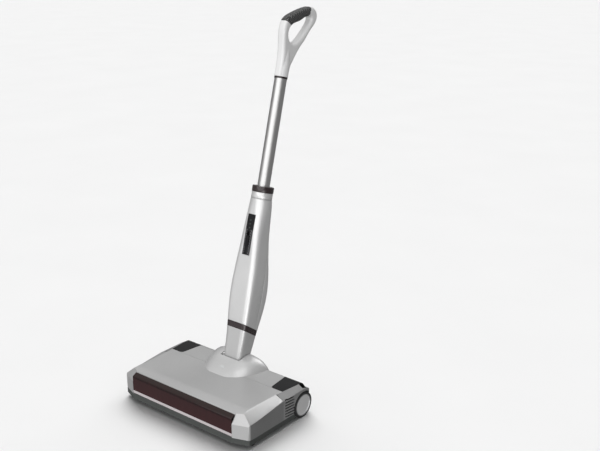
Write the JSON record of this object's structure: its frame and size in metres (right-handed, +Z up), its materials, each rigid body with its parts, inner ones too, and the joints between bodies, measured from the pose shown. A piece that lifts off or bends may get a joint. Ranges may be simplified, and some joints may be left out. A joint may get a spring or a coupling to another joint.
{
  "type": "carpet sweeper",
  "caption": "Battery carpet sweeper: low wide head with a belt-driven brush behind a tinted front window, rear dust bin, and a tilting handle with a telescopic tube and a loop grip.",
  "frame": {"origin": "on the floor under the middle of the object's box, between the wheels' lowest points and the grip's overhang", "axes": "+Z up, +Y from the front window to the back where the handle leans, +X to the right seen from behind the handle"},
  "size_m": [0.35, 0.4289, 0.7919],
  "materials": {
    "silver_plastic": "satin metallic paint",
    "dark_plastic": "fine moulded grain",
    "black_plastic": "satin",
    "window_tint": "clear tinted, glossy",
    "pale_trim": "satin",
    "band_plastic": "glossy",
    "chrome": "polished",
    "tube_metal": "brushed",
    "tyre_rubber": "matt",
    "soft_rubber": "matt, cross-hatched",
    "steel": "machined",
    "bristle": "fibres",
    "core_plastic": "moulded",
    "bin_plastic": "satin",
    "foam": "open foam",
    "cell": "sleeved",
    "board": "solder mask",
    "lens": "frosted"
  },
  "bodies": {
    "head": {"chassis": "dark_plastic", "top_cover": "silver_plastic", "rear_deck": "silver_plastic", "front_window": "window_tint", "window_trim": "pale_trim", "side_panel_right": "dark_plastic", "side_panel_left": "dark_plastic", "corner_cap_right": "black_plastic", "corner_cap_left": "black_plastic", "handle_saddle": "silver_plastic", "saddle_lens": "lens", "lip_seal": "soft_rubber", "case_screws": "steel", "wheel_axles": "steel", "front_roller_pins": "steel", "brush_bearings": "black_plastic", "motor_housing": "steel", "drive_belt": "soft_rubber", "pivot_pin": "steel", "detent_spring": "steel"},
    "wheel_right": {"wheel_tyre_right": "tyre_rubber", "wheel_hub_right": "silver_plastic", "wheel_ring_right": "chrome"},
    "wheel_left": {"wheel_tyre_left": "tyre_rubber", "wheel_hub_left": "silver_plastic", "wheel_ring_left": "chrome"},
    "roller_right": {"front_roller_right": "black_plastic"},
    "roller_left": {"front_roller_left": "black_plastic"},
    "brush": {"brush_shaft": "steel", "brush_core": "core_plastic", "bristle_strips": "bristle", "brush_pulley": "core_plastic"},
    "motor_rotor": {"motor_shaft": "steel", "motor_armature": "steel", "motor_pulley": "steel"},
    "dust_bin": {"dust_bin": "bin_plastic", "bin_filter": "foam"},
    "handle": {"neck_shell": "silver_plastic", "neck_band": "band_plastic", "body_front_shell": "silver_plastic", "body_rear_shell": "silver_plastic", "body_screws": "steel", "charge_socket": "black_plastic", "socket_base": "black_plastic", "switch_panel": "black_plastic", "status_lenses": "lens", "tube_guide": "core_plastic", "battery_cells": "cell", "control_board": "board", "collar_sleeve": "silver_plastic", "collar_ring": "band_plastic"},
    "slide_switch": {"slide_switch": "black_plastic"},
    "grip_tube": {"inner_tube": "tube_metal", "tube_end_bush": "core_plastic", "grip_ring": "band_plastic", "grip_handle": "silver_plastic", "grip_pad": "soft_rubber"}
  },
  "joints": [
    {"name": "handle_tilt", "type": "hinge", "parent": "head", "child": "handle", "pos_m": [0, -0.05545, 0.06], "axis": [-1, 0, 0], "range_deg": [0, 50]},
    {"name": "tube_slide", "type": "slide", "parent": "handle", "child": "grip_tube", "axis": [0, 0.2588, 0.9659], "range_m": [-0.06, 0.2]},
    {"name": "switch_slide", "type": "slide", "parent": "handle", "child": "slide_switch", "axis": [0, 0.2588, 0.9659], "range_m": [0, 0.008]},
    {"name": "bin_slide", "type": "slide", "parent": "head", "child": "dust_bin", "axis": [0, 1, 0], "range_m": [0, 0.12]},
    {"name": "wheel_right_spin", "type": "hinge", "parent": "head", "child": "wheel_right", "pos_m": [0.163, -0.03995, 0.0275], "axis": [-1, 0, 0], "continuous": true},
    {"name": "wheel_left_spin", "type": "hinge", "parent": "head", "child": "wheel_left", "pos_m": [-0.163, -0.03995, 0.0275], "axis": [-1, 0, 0], "continuous": true},
    {"name": "roller_right_spin", "type": "hinge", "parent": "head", "child": "roller_right", "pos_m": [0.163, -0.18445, 0.01], "axis": [-1, 0, 0], "continuous": true},
    {"name": "roller_left_spin", "type": "hinge", "parent": "head", "child": "roller_left", "pos_m": [-0.163, -0.18445, 0.01], "axis": [-1, 0, 0], "continuous": true},
    {"name": "brush_spin", "type": "hinge", "parent": "head", "child": "brush", "pos_m": [0, -0.18045, 0.0275], "axis": [-1, 0, 0], "continuous": true},
    {"name": "motor_spin", "type": "hinge", "parent": "head", "child": "motor_rotor", "pos_m": [-0.12, -0.11445, 0.031], "axis": [-1, 0, 0], "continuous": true}
  ],
  "couplings": [
    {"joint": "motor_spin", "follows": "brush_spin", "ratio": 2.7}
  ]
}
